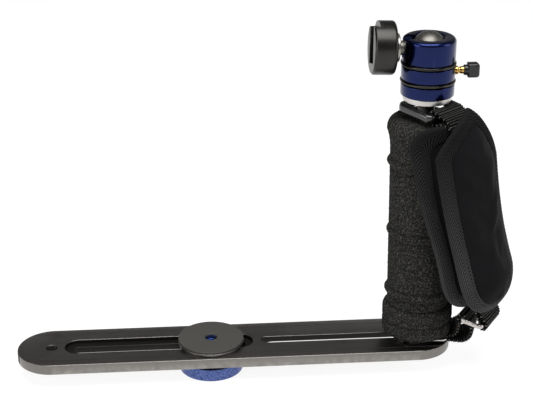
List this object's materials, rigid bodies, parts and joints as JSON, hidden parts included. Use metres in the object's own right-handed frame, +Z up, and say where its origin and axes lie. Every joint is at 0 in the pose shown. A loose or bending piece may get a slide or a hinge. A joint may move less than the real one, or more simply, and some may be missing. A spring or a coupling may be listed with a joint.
{
  "type": "camera bracket grip",
  "caption": "Slotted camera rail with a sliding screw seat, an upright foam handle with a padded hand strap, and a small ball head with an accessory shoe.",
  "frame": {"origin": "middle of the camera knob's flat underside", "axes": "+X along the rail towards the handle, +Z up along the camera screw"},
  "size_m": [0.2849, 0.0648, 0.2065],
  "materials": {
    "black_anodised": "satin black anodised aluminium",
    "blue_anodised": "deep blue anodised aluminium, finely turned",
    "pale_blue_anodised": "lighter blue anodised aluminium",
    "plain_aluminium": "bare turned aluminium",
    "bright_steel": "nickel plated steel",
    "ball_metal": "dull ground steel",
    "brass": "brass",
    "black_rubber": "matte black rubber",
    "black_plastic": "matte black plastic",
    "gloss_black_plastic": "glossy black plastic",
    "grip_foam": "speckled black foam rubber",
    "pad_cloth": "matte black neoprene",
    "binding_tape": "dark grey woven binding tape",
    "webbing": "ribbed black webbing"
  },
  "bodies": {
    "rail": {"rail": "black_anodised"},
    "camera_carriage": {"slot_guide": "black_plastic", "camera_disc": "black_anodised", "disc_facing": "black_rubber", "knob_washer": "black_rubber"},
    "camera_knob": {"camera_knob": "pale_blue_anodised", "camera_screw": "pale_blue_anodised"},
    "handle_carriage": {"handle_screw": "bright_steel", "handle_washer": "bright_steel"},
    "handle": {"bottom_plug": "plain_aluminium", "core_tube": "plain_aluminium", "top_plug": "plain_aluminium", "head_stud": "bright_steel", "foam_grip": "grip_foam", "head_base": "plain_aluminium"},
    "strap": {"upper_ring": "gloss_black_plastic", "webbing_upper": "webbing", "outer_pad": "pad_cloth", "outer_binding": "binding_tape", "inner_pad": "pad_cloth", "inner_binding": "binding_tape", "lower_ring": "bright_steel", "strap_link": "bright_steel", "webbing_loop": "webbing", "webbing_lower": "webbing"},
    "head": {"head_collar": "blue_anodised", "lower_band": "black_anodised", "clamp_housing": "blue_anodised", "push_plug": "plain_aluminium", "ball_cup": "black_plastic", "upper_band": "black_anodised", "head_shell": "blue_anodised"},
    "lock": {"lock_screw": "brass", "lock_knob": "gloss_black_plastic"},
    "ball": {"ball": "ball_metal", "stem_flange": "bright_steel"},
    "shoe": {"shoe_body": "black_anodised", "shoe_screw": "bright_steel"}
  },
  "joints": [
    {"name": "camera_slide", "type": "slide", "parent": "rail", "child": "camera_carriage", "axis": [1, 0, 0], "range_m": [-0.0764, 0.0162]},
    {"name": "camera_knob_turn", "type": "hinge", "parent": "camera_carriage", "child": "camera_knob", "pos_m": [0, 0, 0.004], "axis": [0, 0, 1], "continuous": true},
    {"name": "handle_slide", "type": "slide", "parent": "rail", "child": "handle_carriage", "axis": [1, 0, 0], "range_m": [-0.054, 0]},
    {"name": "handle_turn", "type": "hinge", "parent": "handle_carriage", "child": "handle", "pos_m": [0.1205, 0, 0.03], "axis": [0, 0, 1], "continuous": true},
    {"name": "strap_swivel", "type": "hinge", "parent": "handle", "child": "strap", "pos_m": [0.1205, 0, 0.09], "axis": [0, 0, 1], "continuous": true},
    {"name": "head_pan", "type": "hinge", "parent": "handle", "child": "head", "pos_m": [0.1205, 0, 0.17], "axis": [0, 0, 1], "continuous": true},
    {"name": "lock_knob_turn", "type": "hinge", "parent": "head", "child": "lock", "pos_m": [0.1399, 0, 0.178], "axis": [1, 0, 0], "range_deg": [-270, 0]},
    {"name": "stem_tilt", "type": "hinge", "parent": "head", "child": "ball", "pos_m": [0.1205, 0, 0.1908], "axis": [0, 1, 0], "range_deg": [-4, 114]},
    {"name": "shoe_spin", "type": "hinge", "parent": "ball", "child": "shoe", "pos_m": [0.1205, 0, 0.1908], "axis": [-0.9994, 0, 0.0349], "continuous": true}
  ]
}
